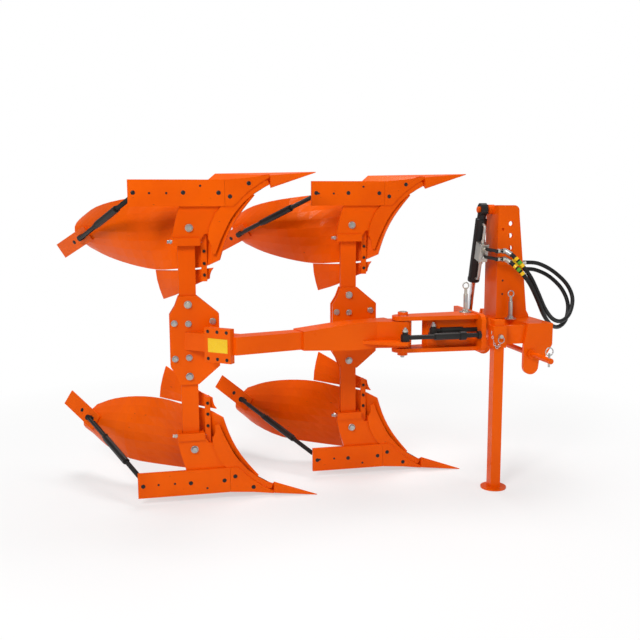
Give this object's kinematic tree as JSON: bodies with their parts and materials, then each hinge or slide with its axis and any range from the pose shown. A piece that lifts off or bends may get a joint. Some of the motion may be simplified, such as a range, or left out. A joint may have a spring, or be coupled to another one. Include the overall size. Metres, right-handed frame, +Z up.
{
  "type": "moldboard plough",
  "caption": "Two-furrow reversible mouldboard plough for a tractor's three-point hitch, with mirrored bottoms, a turnover shaft and cylinder, a hitch mast and a parking stand",
  "frame": {"origin": "centre of the bounding box in plan, on the ground that the lower shares and the stand foot rest on", "axes": "+X forwards, towards the tractor; +Y to the left of travel; +Z up"},
  "size_m": [2.1478, 0.9586, 1.226],
  "materials": {
    "orange_paint": "semi-gloss paint",
    "black_steel": "satin black paint",
    "chrome": "polished",
    "zinc": "plated",
    "rubber": "matt"
  },
  "bodies": {
    "headstock": {"mast": "orange_paint", "crossbar": "orange_paint", "bracket_near": "orange_paint", "bracket_far": "orange_paint", "lower_link_shaft": "zinc", "stand_sleeve": "orange_paint", "coupler_holder": "black_steel", "coupler_upper": "zinc", "coupler_lower": "zinc", "hose_upper": "rubber", "hose_lower": "rubber"},
    "rotor": {"swivel_fork": "orange_paint", "turnover_shaft": "black_steel", "spindle_tube": "black_steel", "inner_spindle": "black_steel"},
    "beam": {"main_beam": "orange_paint", "rear_flange": "orange_paint", "cheek_plates_rear": "orange_paint", "cheek_plates_front": "orange_paint", "leg_rear_lower": "orange_paint", "frog_rear_lower": "orange_paint", "landside_rear_lower": "orange_paint", "shin_piece_rear_lower": "orange_paint", "share_rear_lower": "orange_paint", "mouldboard_rear_lower": "orange_paint", "tail_piece_rear_lower": "orange_paint", "trashboard_rear_lower": "orange_paint", "stay_rod_rear_lower": "black_steel", "leg_rear_upper": "orange_paint", "frog_rear_upper": "orange_paint", "landside_rear_upper": "orange_paint", "shin_piece_rear_upper": "orange_paint", "share_rear_upper": "orange_paint", "mouldboard_rear_upper": "orange_paint", "tail_piece_rear_upper": "orange_paint", "trashboard_rear_upper": "orange_paint", "stay_rod_rear_upper": "black_steel", "leg_front_lower": "orange_paint", "frog_front_lower": "orange_paint", "landside_front_lower": "orange_paint", "shin_piece_front_lower": "orange_paint", "share_front_lower": "orange_paint", "mouldboard_front_lower": "orange_paint", "tail_piece_front_lower": "orange_paint", "trashboard_front_lower": "orange_paint", "stay_rod_front_lower": "black_steel", "leg_front_upper": "orange_paint", "frog_front_upper": "orange_paint", "landside_front_upper": "orange_paint", "shin_piece_front_upper": "orange_paint", "share_front_upper": "orange_paint", "mouldboard_front_upper": "orange_paint", "tail_piece_front_upper": "orange_paint", "trashboard_front_upper": "orange_paint", "stay_rod_front_upper": "black_steel"},
    "spindle": {"spindle_eye": "black_steel"},
    "barrel": {"cylinder_barrel": "black_steel"},
    "rod": {"cylinder_rod": "chrome"},
    "stand": {"parking_stand": "orange_paint"}
  },
  "joints": [
    {"name": "turnover", "type": "hinge", "parent": "headstock", "child": "rotor", "pos_m": [0.65578, -0.08435, 0.613], "axis": [1, 0, 0], "range_deg": [0, 180]},
    {"name": "beam_swivel", "type": "hinge", "parent": "rotor", "child": "beam", "pos_m": [0.36778, -0.22935, 0.613], "axis": [0, 0, 1], "range_deg": [-6, 6]},
    {"name": "spindle_slide", "type": "slide", "parent": "rotor", "child": "spindle", "axis": [1, 0, 0], "range_m": [-0.0085, 0.0085]},
    {"name": "cylinder_swing", "type": "hinge", "parent": "headstock", "child": "barrel", "pos_m": [0.74778, -0.08435, 1.085], "axis": [1, 0, 0], "range_deg": [-29.8, 0]},
    {"name": "rod_slide", "type": "slide", "parent": "barrel", "child": "rod", "axis": [0, 0.256, -0.9667], "range_m": [-0.1505, 0]},
    {"name": "stand_slide", "type": "slide", "parent": "headstock", "child": "stand", "axis": [0, 0, 1], "range_m": [0, 0.35]}
  ],
  "couplings": [
    {"joint": "spindle_slide", "follows": "beam_swivel", "m_per_rad": 0.078},
    {"joint": "cylinder_swing", "follows": "turnover", "ratio": -0.16478},
    {"joint": "rod_slide", "follows": "turnover", "m_per_rad": -0.04775}
  ]
}
